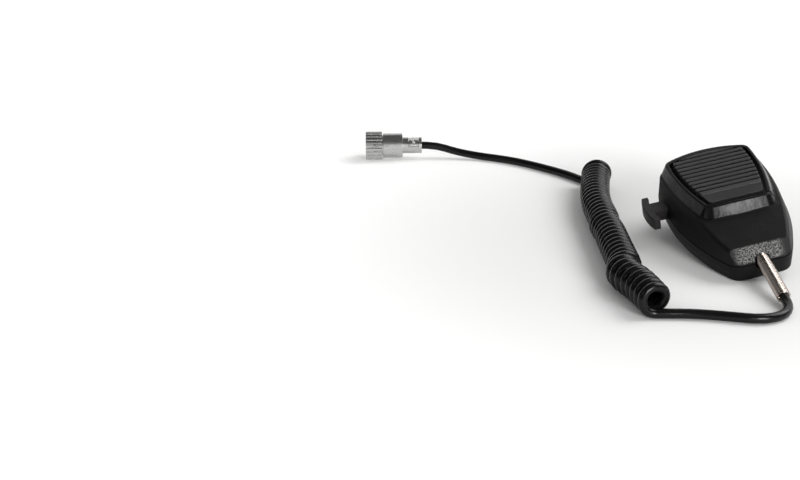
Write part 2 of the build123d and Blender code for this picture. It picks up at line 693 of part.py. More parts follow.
# ------------------------------------------------------------------ press-to-talk button
with BuildPart() as ptt_button:
    low_y = ptt_y - ptt_length / 2
    high_y = ptt_y + ptt_length / 2
    lip_x = ptt_bar_inner - ptt_lip
    with BuildSketch(Plane.XY.offset(ptt_bottom)) as bar_outline:
        with BuildLine():
            ThreePointArc((ptt_bar_end, low_y), (ptt_bar_end - ptt_bulge, ptt_y), (ptt_bar_end, high_y))
            Polyline((ptt_bar_end, high_y), (ptt_bar_inner, high_y),
                     (ptt_bar_inner, high_y - ptt_lip_length),
                     (lip_x, high_y - ptt_lip_length - ptt_lip),
                     (lip_x, low_y + ptt_lip_length + ptt_lip),
                     (ptt_bar_inner, low_y + ptt_lip_length),
                     (ptt_bar_inner, low_y), (ptt_bar_end, low_y))
        make_face()
        fillet(bar_outline.vertices().sort_by(Axis.X)[:2], 2 * ptt_round)
        fillet(bar_outline.vertices().group_by(Axis.X)[-1], ptt_round)
    extrude(amount=ptt_top - ptt_bottom)
    fillet(ptt_button.faces().filter_by(Axis.Z).edges(), ptt_round)
    with BuildSketch(Plane.YZ.offset(lip_x - root)):
        with Locations((ptt_y, stem_middle)):
            Rectangle(ptt_stem_width, stem_height)
    extrude(amount=ptt_flange_outer - lip_x + root)
    with BuildSketch(Plane.YZ.offset(ptt_flange_outer)):
        with Locations((ptt_y, stem_middle)):
            Rectangle(ptt_stem_width + 2 * ptt_flange_overhang, stem_height)
    extrude(amount=ptt_flange_thickness)

# ------------------------------------------------------------------ switch
with BuildPart() as switch_body:
    with BuildSketch(Plane((switch_face + switch_depth / 2, ptt_y, board_top))):
        Rectangle(switch_depth, switch_length)
    extrude(amount=switch_height)
    with BuildSketch(Plane.YZ.offset(switch_face)):
        with Locations((ptt_y, stem_middle)):
            Circle(plunger_radius + plunger_fit)
    extrude(amount=plunger_seat + ptt_travel + running_gap, mode=Mode.SUBTRACT)

with BuildPart() as switch_plunger:
    with BuildSketch(Plane.YZ.offset(plunger_outer)):
        with Locations((ptt_y, stem_middle)):
            Circle(plunger_cap_radius)
    extrude(amount=plunger_cap_height)
    with BuildSketch(Plane.YZ.offset(plunger_outer)):
        with Locations((ptt_y, stem_middle)):
            Circle(plunger_radius)
    extrude(amount=switch_face + plunger_seat - plunger_outer)

with BuildPart() as ptt_return_spring:
    with BuildSketch(Plane.YZ.offset(ptt_flange_outer + ptt_flange_thickness)):
        with Locations((ptt_y, stem_middle)):
            Circle(return_spring_radius)
            Circle(return_spring_radius - return_spring_wall, mode=Mode.SUBTRACT)
    extrude(amount=switch_face - ptt_flange_outer - ptt_flange_thickness)

# ------------------------------------------------------------------ cord entry
print("cord inside the case and the strain relief")
with BuildPart() as cord_core:
    sweep_cord([(bend[0], cord_inner_y, bend[2]), bend, relief_tip], [bend_radius], cord_radius)

with BuildPart() as cable_clamp:
    clamp_bottom = bend[2] - clamp_gap - clamp_depth
    with BuildSketch(Plane((0, clamp_y, clamp_bottom))):
        Rectangle(2 * clamp_half_width, clamp_length)
    extrude(amount=clamp_depth)
    cord_groove()
    holes(clamp_screw_spots, screw_hole, clamp_bottom, bend[2])

with BuildPart() as clamp_screws:
    pan_screws(clamp_screw_spots, clamp_bottom, clamp_depth + 2 * clamp_gap + clamp_screw_grip)

with BuildPart() as strain_relief_collar:
    tube(relief_station, collar_inset, collar_start, collar_radius, cord_hole)

# A close-wound spring, drawn as a tube with a ring for each turn.
with BuildPart() as strain_relief_spring:
    relief_length = relief_axis.length - collar_start
    ring_count = int(relief_length / relief_ring_pitch)
    spring_plane = station(bend, relief_axis, collar_start)
    with BuildSketch(Plane(spring_plane.origin, x_dir=spring_plane.z_dir, z_dir=-spring_plane.x_dir)):
        with BuildLine():
            crest = relief_radius
            trough = relief_radius - relief_groove
            step = relief_length / ring_count
            profile = [(0, relief_radius - relief_wall)]
            for number in range(ring_count):
                start = number * step
                profile += [(start, trough), (start + step * ring_rise, crest),
                            (start + step * (1 - ring_rise), crest)]
            profile += [(relief_length, trough), (relief_length, relief_radius - relief_wall)]
            Polyline(*profile, close=True)
        make_face()
    revolve(axis=Axis(spring_plane.origin, spring_plane.z_dir))

inner_leads = []
for number, lead_name in enumerate(lead_names):
    offset_steps = number - (len(lead_names) - 1) / 2
    pad = (offset_steps * pad_spread, pad_y, board_top + lead_radius)
    with BuildPart() as inner_lead:
        start = (bend[0] + offset_steps * lead_spread, cord_inner_y, bend[2])
        straight = (start[0], start[1] + lead_straight, start[2])
        before_pad = (pad[0], pad[1] - lead_landing, pad[2] + lead_rise)
        sweep_cord([start, straight, before_pad, pad], [lead_bend, lead_bend], lead_radius)
    inner_lead.part.label = "lead_" + lead_name
    inner_leads.append(inner_lead.part)

# ------------------------------------------------------------------ microphone at rest
microphone_pieces = [
    (front_shell, "front_shell"), (grille_insert, "grille_insert"), (grille_felt, "grille_felt"),
    (back_shell, "back_shell"), (case_screws, "case_screws"), (hang_up_button, "hang_up_button"),
    (button_screw, "button_screw"), (capsule_gasket, "capsule_gasket"),
    (microphone_capsule, "microphone_capsule"), (capsule_strap, "capsule_strap"),
    (strap_screws, "strap_screws"), (circuit_board, "circuit_board"),
    (board_screws, "board_screws"), (board_chips, "board_chips"),
    (board_capacitor, "board_capacitor"), (capsule_leads, "capsule_leads"),
    (ptt_button, "ptt_button"), (switch_body, "switch_body"), (switch_plunger, "switch_plunger"),
    (ptt_return_spring, "ptt_return_spring"), (cable_clamp, "cable_clamp"),
    (clamp_screws, "clamp_screws"), (strain_relief_collar, "strain_relief_collar"),
    (strain_relief_spring, "strain_relief_spring"), (cord_core, "cord_core")]
for piece, label in microphone_pieces:
    piece.part.label = label

lay = Rot(0, 0, mic_turn) * Rot(mic_tilt, -mic_roll, 0)
case_box = Compound(children=[lay * front_shell.part, lay * back_shell.part, lay * ptt_button.part,
                              lay * hang_up_button.part]).bounding_box()
rest = Pos(-case_box.center().X, -case_box.center().Y, -case_box.min.Z) * lay
for part in [piece.part for piece, label in microphone_pieces] + inner_leads:
    label = part.label
    placed = rest * part
    placed.label = label
    export_step(placed, "parts/" + label + ".step")
tip = (rest * Pos(*relief_tip)).position
print("rest position", rest.position, "relief tip", tip)


# ------------------------------------------------------------------ cord on the floor
print("cord between the strain relief and the coil")
with BuildPart() as cord_lead:
    route = [tuple(tip)] + lead_points
    sweep_cord(route, route_radii(route), cord_radius)

print("coil")
with BuildPart() as cord_coil:
    sweep_cord(coil_points, route_radii(coil_points), coil_radius)

print("cord between the coil and the plug")
with BuildPart() as cord_tail:
    plug_inside = tuple(plug_station(plug_cord_depth).origin)
    route = tail_points + [plug_inside]
    sweep_cord(route, route_radii(route), cord_radius)

# ------------------------------------------------------------------ plug
with BuildPart() as plug_shell:
    tube(plug_station, 0, plug_neck_length, plug_neck_radius)
    tube(plug_station, plug_neck_length, plug_body_end, plug_body_radius)
    tube(plug_station, plug_body_end, plug_spigot_end, plug_spigot_radius)
    stop_start = plug_ring_start + plug_ring_shoulder + plug_stop_gap
    tube(plug_station, stop_start, stop_start + plug_stop_thickness, plug_stop_radius)
    tube(plug_station, plug_bore_start, plug_spigot_end, plug_bore_radius, mode=Mode.SUBTRACT)
    tube(plug_station, 0, plug_bore_start, cord_hole, mode=Mode.SUBTRACT)
    # Window over the cord for the clamping saddle.
    with BuildSketch(plug_station(plug_window_start)):
        with Locations((0, plug_neck_radius / 2 + plug_window_height)):
            Rectangle(2 * plug_neck_radius + overcut, plug_neck_radius)
    extrude(amount=plug_window_end - plug_window_start, mode=Mode.SUBTRACT)
    with BuildSketch(plug_window_plane):
        with Locations(*plug_screw_spots):
            Circle(plug_screw_radius + screw_clearance)
    extrude(amount=-plug_screw_depth - overcut / 2, mode=Mode.SUBTRACT)

with BuildPart() as plug_saddle:
    with BuildSketch(plug_station(plug_window_start + running_gap)):
        Circle(plug_neck_radius)
        with Locations((0, -plug_neck_radius + plug_window_height + plug_saddle_gap)):
            Rectangle(3 * plug_neck_radius, 2 * plug_neck_radius, mode=Mode.SUBTRACT)
        with Locations((0, plug_neck_radius + plug_saddle_top)):
            Rectangle(3 * plug_neck_radius, 2 * plug_neck_radius, mode=Mode.SUBTRACT)
        Circle(cord_hole, mode=Mode.SUBTRACT)
    extrude(amount=plug_window_end - plug_window_start - 2 * running_gap)
    with BuildSketch(plug_window_plane):
        with Locations(*plug_screw_spots):
            Circle(plug_screw_radius + screw_clearance)
    extrude(amount=plug_saddle_top, mode=Mode.SUBTRACT)
    with BuildSketch(plug_window_plane.offset(plug_screw_head_base)):
        with Locations(*plug_screw_spots):
            Circle(plug_screw_head_radius + head_gap)
    extrude(amount=plug_saddle_top, mode=Mode.SUBTRACT)

with BuildPart() as plug_screws:
    with BuildSketch(plug_window_plane.offset(-plug_screw_depth)):
        with Locations(*plug_screw_spots):
            Circle(plug_screw_radius)
    extrude(amount=plug_screw_head_base + plug_screw_depth)
    with BuildSketch(plug_window_plane.offset(plug_screw_head_base)):
        with Locations(*plug_screw_spots):
            Circle(plug_screw_head_radius)
    extrude(amount=plug_screw_head_height)

with BuildPart() as plug_ring:
    with BuildSketch(plug_station(plug_ring_start)):
        Circle(plug_rear[2])
        with PolarLocations(plug_rear[2] + plug_knurl_offset, plug_knurls,
                            start_angle=90 + 180 / plug_knurls):
            Circle(plug_knurl_radius, mode=Mode.SUBTRACT)
    extrude(amount=plug_ring_length)
    tube(plug_station, plug_ring_start, plug_ring_start + plug_ring_shoulder,
         plug_spigot_radius + plug_ring_fit, mode=Mode.SUBTRACT)
    tube(plug_station, plug_ring_start + plug_ring_shoulder, plug_ring_start + plug_ring_length,
         plug_thread_radius, mode=Mode.SUBTRACT)

with BuildPart() as plug_insert:
    tube(plug_station, plug_insert_start, plug_insert_end, plug_bore_radius - plug_insert_clearance)
    with BuildSketch(plug_station(plug_insert_start)):
        with PolarLocations(plug_contact_circle, plug_contact_count, start_angle=45):
            Circle(plug_contact_radius + screw_clearance)
    extrude(amount=plug_insert_end - plug_insert_start, mode=Mode.SUBTRACT)

with BuildPart() as plug_contacts:
    with BuildSketch(plug_station(plug_insert_start - plug_contact_tail)):
        with PolarLocations(plug_contact_circle, plug_contact_count, start_angle=45):
            Circle(plug_contact_radius)
            Circle(plug_contact_bore, mode=Mode.SUBTRACT)
    extrude(amount=plug_insert_end - plug_insert_start + plug_contact_tail)

cord_pieces = [
    (cord_lead, "cord_lead"), (cord_coil, "cord_coil"), (cord_tail, "cord_tail"),
    (plug_shell, "plug_shell"), (plug_saddle, "plug_saddle"), (plug_screws, "plug_screws"),
    (plug_ring, "plug_ring"), (plug_insert, "plug_insert"), (plug_contacts, "plug_contacts")]
for piece, label in cord_pieces:
    piece.part.label = label
    export_step(piece.part, "parts/" + label + ".step")
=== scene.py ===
import bpy
import json
import math
import numpy as np
from mathutils import Matrix, Vector


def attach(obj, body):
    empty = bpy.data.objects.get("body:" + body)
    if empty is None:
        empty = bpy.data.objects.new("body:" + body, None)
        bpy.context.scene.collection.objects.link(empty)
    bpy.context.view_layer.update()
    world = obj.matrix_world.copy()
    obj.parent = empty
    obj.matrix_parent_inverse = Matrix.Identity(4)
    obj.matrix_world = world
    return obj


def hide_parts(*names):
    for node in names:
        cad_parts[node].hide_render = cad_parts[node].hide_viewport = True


# %% [markdown]
# A palm microphone with its curly cord.  The engineering model arrives first, as a fixed
# frame: every solid already lies where it belongs, in metres.  This script adds the things
# that solids are bad at, such as the wound cord, and gives every piece its finish.

# %% Load the frame
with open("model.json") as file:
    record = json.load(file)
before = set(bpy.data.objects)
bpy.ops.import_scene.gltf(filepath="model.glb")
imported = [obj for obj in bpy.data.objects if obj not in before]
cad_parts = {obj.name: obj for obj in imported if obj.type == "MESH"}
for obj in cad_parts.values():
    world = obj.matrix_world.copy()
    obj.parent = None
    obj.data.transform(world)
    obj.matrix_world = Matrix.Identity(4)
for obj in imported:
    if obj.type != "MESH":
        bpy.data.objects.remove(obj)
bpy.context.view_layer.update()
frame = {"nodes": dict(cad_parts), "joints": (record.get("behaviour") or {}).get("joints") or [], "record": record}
nodes = frame["nodes"]
MM = 0.001

# %% [markdown]
# The microphone lies tilted on its hang-up button, so its own directions are not the
# world's.  Two facts of the record give them back: the press-to-talk bar slides along the
# microphone's X, and the hang-up button's face looks along its -Z.

# %% The microphone's own frame
press = next(j for j in frame["joints"] if j["name"] == "ptt_press")
rest_face = next(m for m in frame["record"]["mounts"] if m["name"] == "hang_up_button_face")
mic_x = Vector(press["axis"]).normalized()
mic_z = -Vector(rest_face["axis"]).normalized()
mic_y = mic_z.cross(mic_x)
FACE_POINT = Vector((0, 54.6, -20.0)) * MM
mic_turn = Matrix((mic_x, mic_y, mic_z)).transposed()
MIC = Matrix.Translation(Vector(rest_face["pos_m"]) - mic_turn @ FACE_POINT) @ mic_turn.to_4x4()
print("microphone's cord end at", [round(v / MM, 1) for v in MIC.translation])

# %% [markdown]
# The camera comes before anything is made, because it decides what will be seen.  It stands
# above the table and looks down at about twenty-two degrees through a lens somewhat longer
# than a normal one.  A small sideways shift trims the framing without turning the camera.
# The Standard view transform shows each colour about as it is written.

# %% Camera
LENS_MM, SENSOR_MM, SIDE_SHIFT = 56.835, 36, -0.02625
PITCH, HEADING = math.radians(21.6), math.radians(-8)
CAMERA_PLACE = Vector((-254.0, -624.05, 263.9)) * MM
NEAREST, FARTHEST = 0.01, 30


def add_object(name, data):
    """Makes an object that shows the data, and puts it in the scene."""
    thing = bpy.data.objects.new(name, data)
    bpy.context.scene.collection.objects.link(thing)
    return thing


camera_data = bpy.data.cameras.new("camera")
camera_data.lens, camera_data.sensor_width, camera_data.shift_x = LENS_MM, SENSOR_MM, SIDE_SHIFT
camera_data.clip_start, camera_data.clip_end = NEAREST, FARTHEST
camera = add_object("camera", camera_data)
camera.location = CAMERA_PLACE
camera.rotation_euler = (math.pi / 2 - PITCH, 0, HEADING)
bpy.context.scene.camera = camera
bpy.context.scene.view_settings.view_transform = "Standard"
print("camera distance", round((camera.location - MIC.translation).length, 3))

# %% [markdown]
# A real curly cord is a straight cable that was wound on a rod and baked, so it is one
# piece from end to end.  The solid model draws its coil as a fat tube; here it becomes a
# single smooth NURBS line that carries a round section.  The points below say where it goes,
# in millimetres: the straight lead lies on the table, then comes the middle line of the coil,
# and then the tail, which rises to the plug.  The relief is the spring that the cord leaves
# the case through: it is rooted in the case and ends at its tip.

# %% Cord: route points
CORD_RADIUS, COIL_RADIUS = 2.5 * MM, 9.0 * MM
tip = MIC @ (Vector((-0.8, -31, -2.4)) * MM)
relief_root = MIC @ (Vector((0.8, 9.5, 0.6)) * MM)
relief_way = (tip - relief_root).normalized()
lead_points = [(6.31, -85.09, 2.6), (-0.4, -94.4, 2.6), (-12.9, -97.4, 2.6),
               (-28.7, -91.1, 2.6), (-43.9, -86.1, 2.6), (-57.9, -84.0, 2.6)]
coil_points = [(-62.1, -83.0, 9.0), (-65.1, -47.5, 9.0), (-62.5, -20.5, 9.0),
               (-57.2, 22.5, 9.0), (-52.4, 71.5, 9.0), (-35.8, 119.7, 9.0)]
tail_points = [(-50.9, 128.5, 2.6), (-64.9, 146.5, 2.6), (-81.9, 164.5, 2.6),
               (-101.9, 176.5, 2.6), (-117.8, 181.8, 5.0), (-130.9, 184.2, 9.4)]
PLUG_REAR = Vector((-139.9, 185.1, 9.4)) * MM
PLUG_WAY = Vector((-1, 0.1, 0)).normalized()
print("route points:", len(lead_points), "lead,", len(coil_points), "coil,", len(tail_points), "tail")

# %% [markdown]
# Everything wound is drawn with two helpers.  The first makes a smooth open line from control
# points, and gives it a round section when it is asked to: a bevel depth of 1 lets each
# point's own radius be the radius of the section.  The second reads close points back from
# such a line, for measuring it or for winding something round it.

# %% Helpers: smooth lines
def metres(points):
    return [Vector(point) * MM for point in points]


def nurbs(name, points, radius=0.0, steps=4, sides=8):
    """A smooth open line through space, with a round section when radius is given."""
    data = bpy.data.curves.new(name, "CURVE")
    data.dimensions = "3D"
    spline = data.splines.new("NURBS")
    spline.points.add(len(points) - 1)
    for place, point in zip(spline.points, points):
        place.co, place.radius = (*point, 1), radius
    spline.order_u = 3
    spline.use_endpoint_u = True
    spline.resolution_u = steps
    spline.use_smooth = True
    if radius:
        data.bevel_depth, data.bevel_resolution, data.use_fill_caps = 1.0, sides, True
    return add_object(name, data)


def line_of(points, steps=24):
    """Close points read from the smooth line that these control points give."""
    thing = nurbs("guide", points, steps=steps)
    bpy.context.view_layer.update()
    mesh = bpy.data.meshes.new_from_object(thing.evaluated_get(bpy.context.evaluated_depsgraph_get()))
    found = [vertex.co.copy() for vertex in mesh.vertices]
    bpy.data.objects.remove(thing)
    return found


middle = line_of(metres(coil_points))
print("points on the coil's middle line:", len(middle))

# %% [markdown]
# The turns are wound round that middle line.  On a cord in use they are not perfect: their
# spacing wanders a little, a few near each end stand wider, and some have slipped to one
# side, with a sharp step where the larger slip stops.  Each such fault is a hump with a
# height, a middle and a reach, the last two counted in turns, so that it stays local.  A
# smooth line runs a little inside its control points, so these are set slightly outward.

# %% Cord: the uneven turns
TURNS, POINTS_PER_TURN = 38, 16
COIL_END_SHARE, COIL_OUTWARD = 0.958, 1.015
WANDER_SHARE, WANDER_PACE = 0.001, 0.9
SLIP_MM, SMALL_SLIP_MM = (3.4, 7.0, 2.6), (0.9, 20.0, 1.2)
SLIP_STOP, SLIP_STOP_SHARPNESS = 8.4, 5
WIDER_FIRST, WIDER_LAST = (0.05, 5.0, 3.0), (0.09, TURNS, 1.0)


def hump(value, height, centre, reach):
    """The height at the centre, falling smoothly to 0 on both sides."""
    return height * math.exp(-((value - centre) / reach) ** 2)


def slip_at(count):
    """How far, in millimetres, the turn has slipped to the side."""
    stopped = 1 + math.exp(SLIP_STOP_SHARPNESS * (count - SLIP_STOP))
    return hump(count, *SLIP_MM) / stopped + hump(count, *SMALL_SLIP_MM)


def wider_at(count):
    """How much wider the turn is, as a share of its radius."""
    return hump(count, *WIDER_FIRST) + hump(count, *WIDER_LAST)


print("slip in mm at every fourth turn:", [round(slip_at(count), 1) for count in range(0, TURNS + 1, 4)])


# %% Cord: the helix round the coil's middle line
def along(points, share):
    """The point and direction at a share, from 0 to 1, of a line's length."""
    steps = [0.0]
    for a, b in zip(points, points[1:]):
        steps.append(steps[-1] + (b - a).length)
    place = np.interp(share * steps[-1], steps, range(len(points)))
    first = min(int(place), len(points) - 2)
    direction = (points[first + 1] - points[first]).normalized()
    return points[first].lerp(points[first + 1], place - first), direction


FROM_BELOW = -math.pi / 2
wound_radius = COIL_RADIUS - CORD_RADIUS
helix = []
for number in range(TURNS * POINTS_PER_TURN + 1):
    count = number / POINTS_PER_TURN
    share = COIL_END_SHARE * count / TURNS + WANDER_SHARE * math.sin(WANDER_PACE * count)
    centre, ahead = along(middle, share)
    right = ahead.cross(Vector((0, 0, 1))).normalized()
    up = right.cross(ahead)
    turn = FROM_BELOW - 2 * math.pi * count
    widened = wound_radius * wider_at(count)
    radius = wound_radius * COIL_OUTWARD + widened
    helix.append(centre - slip_at(count) * MM * right + widened * up
                 + radius * (math.cos(turn) * right + math.sin(turn) * up))
print("points on the helix:", len(helix))

# %% [markdown]
# The last turn ends low, and the cord leaves it level, along the table.  The whole cord is one
# line, from inside the relief's tip, along the lead, round the coil and along the tail, to
# a little way inside the plug, so that neither end is seen.

# %% Cord: one line from the case to the plug
LEAVING_MM, INSIDE_RELIEF_MM, INSIDE_PLUG_MM = 6, 3, 4
last_way = helix[-1] - helix[-2]
last_way.z = 0
leaving = helix[-1] + last_way.normalized() * LEAVING_MM * MM
cord_line = ([tip - relief_way * INSIDE_RELIEF_MM * MM, tip] + metres(lead_points) + helix + [leaving]
             + metres(tail_points) + [PLUG_REAR + PLUG_WAY * INSIDE_PLUG_MM * MM])
cord = nurbs("curly_cord", cord_line, CORD_RADIUS, steps=3, sides=6)
print("turns:", TURNS, "control points:", len(cord_line))

# %% [markdown]
# The drawn cord stands for three solids: the lead, the coil and the tail.  Its length is
# measured along its own line, since that is the length of cable that was wound.

# %% Cord: length, and what it stands for
measured = line_of(cord_line, steps=4)
cord_length = sum((b - a).length for a, b in zip(measured, measured[1:]))
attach(cord, "case")
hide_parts("cord_lead", "cord_coil", "cord_tail")
print("cord length in m:", round(cord_length, 3))

# %% [markdown]
# Where the cord leaves the case a close-wound spring of plated wire keeps it from kinking.
# It is a plain helix, so the same tools make it: a line of points and a round section.

# %% Strain relief spring
WIRE_RADIUS, SPRING_RADIUS, SPRING_START = 0.62 * MM, 3.6 * MM, 3.1 * MM
WIRE_SPACING, SPRING_OUTWARD = 2.06, 1.02
POINTS_PER_RING = 12
relief_length = (tip - relief_root).length - SPRING_START
spring_turns = int(relief_length / (WIRE_SPACING * WIRE_RADIUS))
ring_radius = (SPRING_RADIUS - WIRE_RADIUS) * SPRING_OUTWARD
side = relief_way.cross(Vector((0, 0, 1))).normalized()
over = side.cross(relief_way)
spring_line = []
for number in range(spring_turns * POINTS_PER_RING + 1):
    turn = 2 * math.pi * number / POINTS_PER_RING
    far = SPRING_START + relief_length * number / (spring_turns * POINTS_PER_RING)
    outward = math.cos(turn) * side + math.sin(turn) * over
    spring_line.append(relief_root + relief_way * far + ring_radius * outward)
relief = nurbs("strain_relief_wire", spring_line, WIRE_RADIUS, steps=2, sides=3)
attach(relief, "case")
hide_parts("strain_relief_spring")
print("spring turns:", spring_turns)

# %% [markdown]
# The louvred insert stands in a wide shadow gap.  The solid one fills its recess a little more
# than the real one does, so a copy is drawn in towards its own middle, across and along the
# microphone, and stands for it.

# %% Louvred insert
INSERT_MIDDLE = Vector((0, 60, 0)) * MM
DRAWN_ACROSS, DRAWN_ALONG = 0.945, 0.98
drawn_in = Matrix.Diagonal((DRAWN_ACROSS, DRAWN_ALONG, 1, 1))
shift_there, shift_back = Matrix.Translation(INSERT_MIDDLE), Matrix.Translation(-INSERT_MIDDLE)
louvres = add_object("louvred_insert", nodes["grille_insert"].data.copy())
louvres.data.transform(MIC @ shift_there @ drawn_in @ shift_back @ MIC.inverted())
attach(louvres, "case")
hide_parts("grille_insert")
print("insert's faces:", len(louvres.data.polygons))

# %% [markdown]
# Finishes are made of shader nodes.  A small helper adds a node and fills its sockets by name,
# so that each material below reads like a recipe, and a few more do the arithmetic.

# %% Helpers: shader nodes
def node(tree, kind, settings=None, **sockets):
    """Adds a shader node.  A socket gets a value, or the output that feeds it.

    Sockets go by their names, or by their places as _0, _1 and so on."""
    made = tree.nodes.new("ShaderNode" + kind)
    for key, value in (settings or {}).items():
        setattr(made, key, value)
    for key, value in sockets.items():
        socket = made.inputs[int(key[1:])] if key[0] == "_" else made.inputs[key.replace("_", " ")]
        if isinstance(value, bpy.types.NodeSocket):
            tree.links.new(value, socket)
        else:
            socket.default_value = value
    return made


def calc(tree, operation, *values, clamp=False):
    """One step of arithmetic on numbers or outputs."""
    sockets = {"_%d" % place: value for place, value in enumerate(values)}
    return node(tree, "Math", {"operation": operation, "use_clamp": clamp}, **sockets).outputs[0]


def times(tree, product, *others):
    """The product of numbers or outputs."""
    for other in others:
        product = calc(tree, "MULTIPLY", product, other)
    return product


def fade(tree, value, start, end):
    """0 at the start and 1 at the end, with a soft passage between; the start may be larger."""
    settings = {"interpolation_type": "SMOOTHSTEP", "clamp": True}
    return node(tree, "MapRange", settings, Value=value, From_Min=start, From_Max=end).outputs[0]


def blend_colours(tree, mask, first, second):
    """The first colour where the mask is 0, the second where it is 1.

    A Mix node keeps its factor in socket 0 and its colours in 6 and 7, and puts a colour out in 2."""
    return node(tree, "Mix", {"data_type": "RGBA"}, _0=mask, _6=first, _7=second).outputs[2]


# %% [markdown]
# Effects that several materials share are node groups, built once and placed in each material
# with its own values.  They put out masks, heights and normals, and each material keeps its
# own Principled BSDF.

# %% Helpers: node groups
def effect(name, inputs, outputs):
    """An empty node group with named sockets: its tree, what comes in and what goes out."""
    tree = bpy.data.node_groups.new(name, "ShaderNodeTree")
    for label, kind, default in inputs:
        socket = tree.interface.new_socket(label, in_out="INPUT", socket_type="NodeSocket" + kind)
        socket.default_value = default
    for label, kind in outputs:
        tree.interface.new_socket(label, in_out="OUTPUT", socket_type="NodeSocket" + kind)
    return tree, tree.nodes.new("NodeGroupInput").outputs, tree.nodes.new("NodeGroupOutput").inputs


def use(tree, group, **sockets):
    """Places a group with its own values, and gives its outputs."""
    return node(tree, "Group", {"node_tree": group}, **sockets).outputs


# %% [markdown]
# Moulded grain.  A steel mould is etched before the plastic is shot, which leaves tiny round
# pits between low ridges.  Noise gives the ridges and a cell pattern gives the pits.  The
# highest ridges are also put out as specks, for a material to tint.

# %% Effect: moulded grain
MM_PER_METRE = 1000.0
RIDGE_SHARE, PIT_SHARE, SPECK_RISE = 0.6, 0.7, (0.58, 0.72)
grain, given, result = effect("moulded_grain", [("Grain mm", "Float", 0.5)],
                              [("Height", "Float"), ("Speck", "Float")])
where = node(grain, "TexCoord").outputs["Object"]
per_metre = calc(grain, "DIVIDE", MM_PER_METRE, given["Grain mm"])
ridges = node(grain, "TexNoise", Vector=where, Scale=per_metre, Detail=3.0, Roughness=0.55).outputs[0]
pits = node(grain, "TexVoronoi", {"feature": "SMOOTH_F1"}, Vector=where, Scale=per_metre,
            Smoothness=0.4).outputs["Distance"]
both = calc(grain, "ADD", times(grain, ridges, RIDGE_SHARE), times(grain, pits, PIT_SHARE))
grain.links.new(both, result["Height"])
grain.links.new(fade(grain, ridges, *SPECK_RISE), result["Speck"])
print("effect:", grain.name)

# %% [markdown]
# Handling.  A thing that is held every day gets slightly shinier where palms rub it and dull
# where dust stays.  Broad soft noise moves the roughness up and down; dust lies on what looks
# up, in fine specks that gather in patches.

# %% Effect: handling and dust
SPECKS_PER_METRE = 2600.0
LOOKS_UP, SPECK_OF_DUST, DUSTY_PATCH = (0.55, 0.98), (0.6, 0.75), (0.4, 0.7)
handling, given, result = effect("handling", [("Patch mm", "Float", 18.0), ("Amount", "Float", 0.08)],
                                 [("Roughness Shift", "Float"), ("Dust", "Float")])
where = node(handling, "TexCoord").outputs["Object"]
per_metre = calc(handling, "DIVIDE", MM_PER_METRE, given["Patch mm"])
patches = node(handling, "TexNoise", Vector=where, Scale=per_metre, Detail=4.0, Roughness=0.6).outputs[0]
shift = times(handling, calc(handling, "SUBTRACT", patches, 0.5), given["Amount"])
handling.links.new(shift, result["Roughness Shift"])
facing = node(handling, "SeparateXYZ", Vector=node(handling, "NewGeometry").outputs["Normal"]).outputs["Z"]
specks = node(handling, "TexNoise", Vector=where, Scale=SPECKS_PER_METRE, Detail=2.0).outputs[0]
dust = times(handling, fade(handling, facing, *LOOKS_UP), fade(handling, specks, *SPECK_OF_DUST),
             fade(handling, patches, *DUSTY_PATCH))
handling.links.new(dust, result["Dust"])
print("effect:", handling.name)

# %% [markdown]
# Soft edges.  No moulded or stamped edge is perfectly sharp, and the small radius is what
# catches the light.  The bevel node bends the normal near edges, and the difference from the
# flat normal is a mask for wear, and for a highlight painted along the edges.

# %% Effect: soft edges
WEAR_AND_HIGHLIGHT_RISE = (0.02, 0.25)
soft_edges, given, result = effect("soft_edges", [("Radius mm", "Float", 0.3)],
                                   [("Normal", "Vector"), ("Wear and Highlight", "Float")])
rounded = node(soft_edges, "Bevel", {"samples": 4},
               Radius=times(soft_edges, given["Radius mm"], MM)).outputs[0]
plain = node(soft_edges, "NewGeometry").outputs["Normal"]
turned = node(soft_edges, "VectorMath", {"operation": "DOT_PRODUCT"}, _0=rounded, _1=plain).outputs["Value"]
soft_edges.links.new(rounded, result["Normal"])
# How far the normal turns away near an edge: the mask for wear and for painted edge highlights.
turned_away = calc(soft_edges, "SUBTRACT", 1.0, turned)
soft_edges.links.new(fade(soft_edges, turned_away, *WEAR_AND_HIGHLIGHT_RISE), result["Wear and Highlight"])
print("effect:", soft_edges.name)

# %% [markdown]
# Every material starts from a Principled BSDF of its own, and most are finished in the same
# two ways: handling shifts the roughness, and a height map is pressed into the surface on top
# of its softened edges.

# %% Helpers: what the recipes share
DUST_COLOUR = (0.35, 0.34, 0.32, 1)


def principled(name, roughness, metallic=0.0, specular=0.5):
    """A material with its own Principled BSDF."""
    mat = bpy.data.materials.new(name)
    mat.use_nodes = True
    shader = mat.node_tree.nodes["Principled BSDF"]
    shader.inputs["Roughness"].default_value = roughness
    shader.inputs["Metallic"].default_value = metallic
    shader.inputs["Specular IOR Level"].default_value = specular
    return mat, mat.node_tree, shader


def tint(colour, factor):
    """The colour made lighter or darker, with the opaque fourth channel that sockets expect."""
    return (*[min(1.0, channel * factor) for channel in colour], 1)


def handled(tree, shader, marks, roughness):
    """The roughness, shifted by handling."""
    shifted = calc(tree, "ADD", marks["Roughness Shift"], roughness, clamp=True)
    tree.links.new(shifted, shader.inputs["Roughness"])


def pressed(tree, shader, edges, height, depth, strength=1.0):
    """A height map as fine relief, of this depth in metres, over the softened edges."""
    bump = node(tree, "Bump", Strength=strength, Distance=depth, Height=height, Normal=edges["Normal"])
    tree.links.new(bump.outputs[0], shader.inputs["Normal"])


# %% [markdown]
# Moulded plastic and rubber are coloured right through, so wear hardly changes them: specks
# and rubbed edges are the same colour, on the dark ones somewhat lighter.  Where edges are made
# much lighter, the lighter colour is a painted highlight.

# %% Recipe: moulded plastic
SPECK_TINT, EDGE_SHARE = 1.35, 0.5


